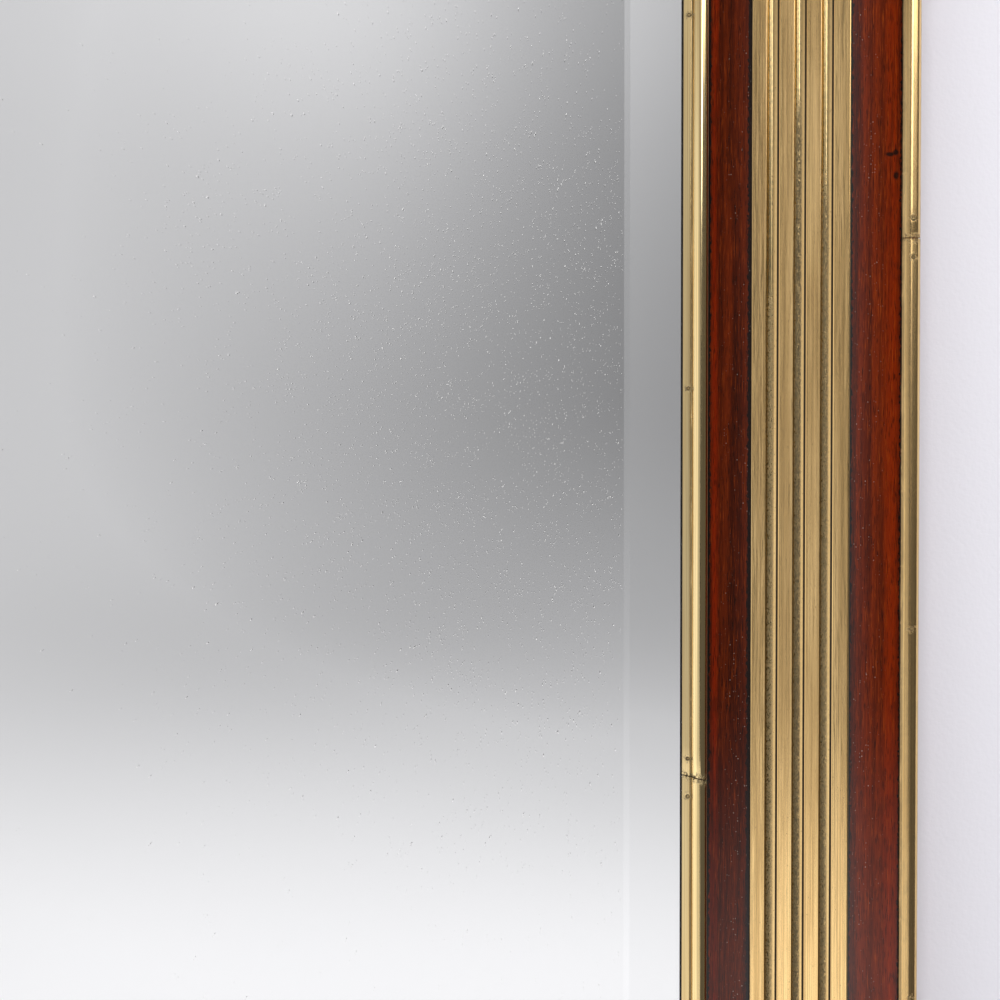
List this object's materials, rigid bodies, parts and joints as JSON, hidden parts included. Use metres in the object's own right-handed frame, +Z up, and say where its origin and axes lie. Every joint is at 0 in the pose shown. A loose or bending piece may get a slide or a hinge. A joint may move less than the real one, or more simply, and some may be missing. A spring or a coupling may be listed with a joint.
{
  "type": "wall mirror",
  "caption": "Upright wall mirror: a bevelled silvered plate in a mitred mahogany frame with brass beads and a fluted brass panel, hung by swinging rings on its back.",
  "frame": {"origin": "middle of the wall plane, on the rear face of the middle back board", "axes": "+X right as seen from the front, +Y into the wall, +Z up"},
  "size_m": [0.9, 0.038, 1.3],
  "materials": {
    "mahogany": "french polished mahogany",
    "drawn_brass": "drawn, hand polished, aged",
    "softwood": "planed, darkened with age",
    "board_wood": "planed, darkened with age",
    "peg_oak": "riven oak",
    "plate_glass": "polished, bevelled",
    "silver_coat": "silvered, with a protective back coat",
    "hanger_brass": "stamped, dull",
    "screw_steel": "turned steel, dull",
    "nail_iron": "dark iron"
  },
  "bodies": {
    "frame": {"back_board_left": "board_wood", "back_board_middle": "board_wood", "back_board_nails": "nail_iron", "back_board_right": "board_wood", "corner_pegs": "peg_oak", "fluted_panel_bottom": "drawn_brass", "fluted_panel_left": "drawn_brass", "fluted_panel_right": "drawn_brass", "fluted_panel_top": "drawn_brass", "glazing_blocks": "softwood", "hanger_screws": "screw_steel", "hanger_strap_left": "hanger_brass", "hanger_strap_right": "hanger_brass", "inner_band_bottom": "mahogany", "inner_band_left": "mahogany", "inner_band_right": "mahogany", "inner_band_top": "mahogany", "inner_bead_bottom": "drawn_brass", "inner_bead_core_bottom": "softwood", "inner_bead_core_left": "softwood", "inner_bead_core_right": "softwood", "inner_bead_core_top": "softwood", "inner_bead_left_lower": "drawn_brass", "inner_bead_left_upper": "drawn_brass", "inner_bead_pins": "drawn_brass", "inner_bead_right_lower": "drawn_brass", "inner_bead_right_upper": "drawn_brass", "inner_bead_top": "drawn_brass", "mirror_plate": "plate_glass", "outer_band_bottom": "mahogany", "outer_band_left": "mahogany", "outer_band_right": "mahogany", "outer_band_top": "mahogany", "outer_bead_bottom": "drawn_brass", "outer_bead_left_lower": "drawn_brass", "outer_bead_left_upper": "drawn_brass", "outer_bead_pins": "drawn_brass", "outer_bead_right_lower": "drawn_brass", "outer_bead_right_upper": "drawn_brass", "outer_bead_top": "drawn_brass", "outer_lipping_bottom": "mahogany", "outer_lipping_left": "mahogany", "outer_lipping_right": "mahogany", "outer_lipping_top": "mahogany", "panel_core_bottom": "softwood", "panel_core_left": "softwood", "panel_core_right": "softwood", "panel_core_top": "softwood", "plate_wedges": "softwood", "rail_core_bottom": "softwood", "rail_core_top": "softwood", "silvering": "silver_coat", "stile_core_left": "softwood", "stile_core_right": "softwood"},
    "ring_left": {"hanger_ring_left": "hanger_brass"},
    "ring_right": {"hanger_ring_right": "hanger_brass"}
  },
  "joints": [
    {"name": "ring_left_swing", "type": "hinge", "parent": "frame", "child": "ring_left", "pos_m": [-0.41, -0.0042, 0.46], "axis": [1, 0, 0], "range_deg": [0, 180]},
    {"name": "ring_right_swing", "type": "hinge", "parent": "frame", "child": "ring_right", "pos_m": [0.41, -0.0042, 0.46], "axis": [1, 0, 0], "range_deg": [0, 180]}
  ]
}
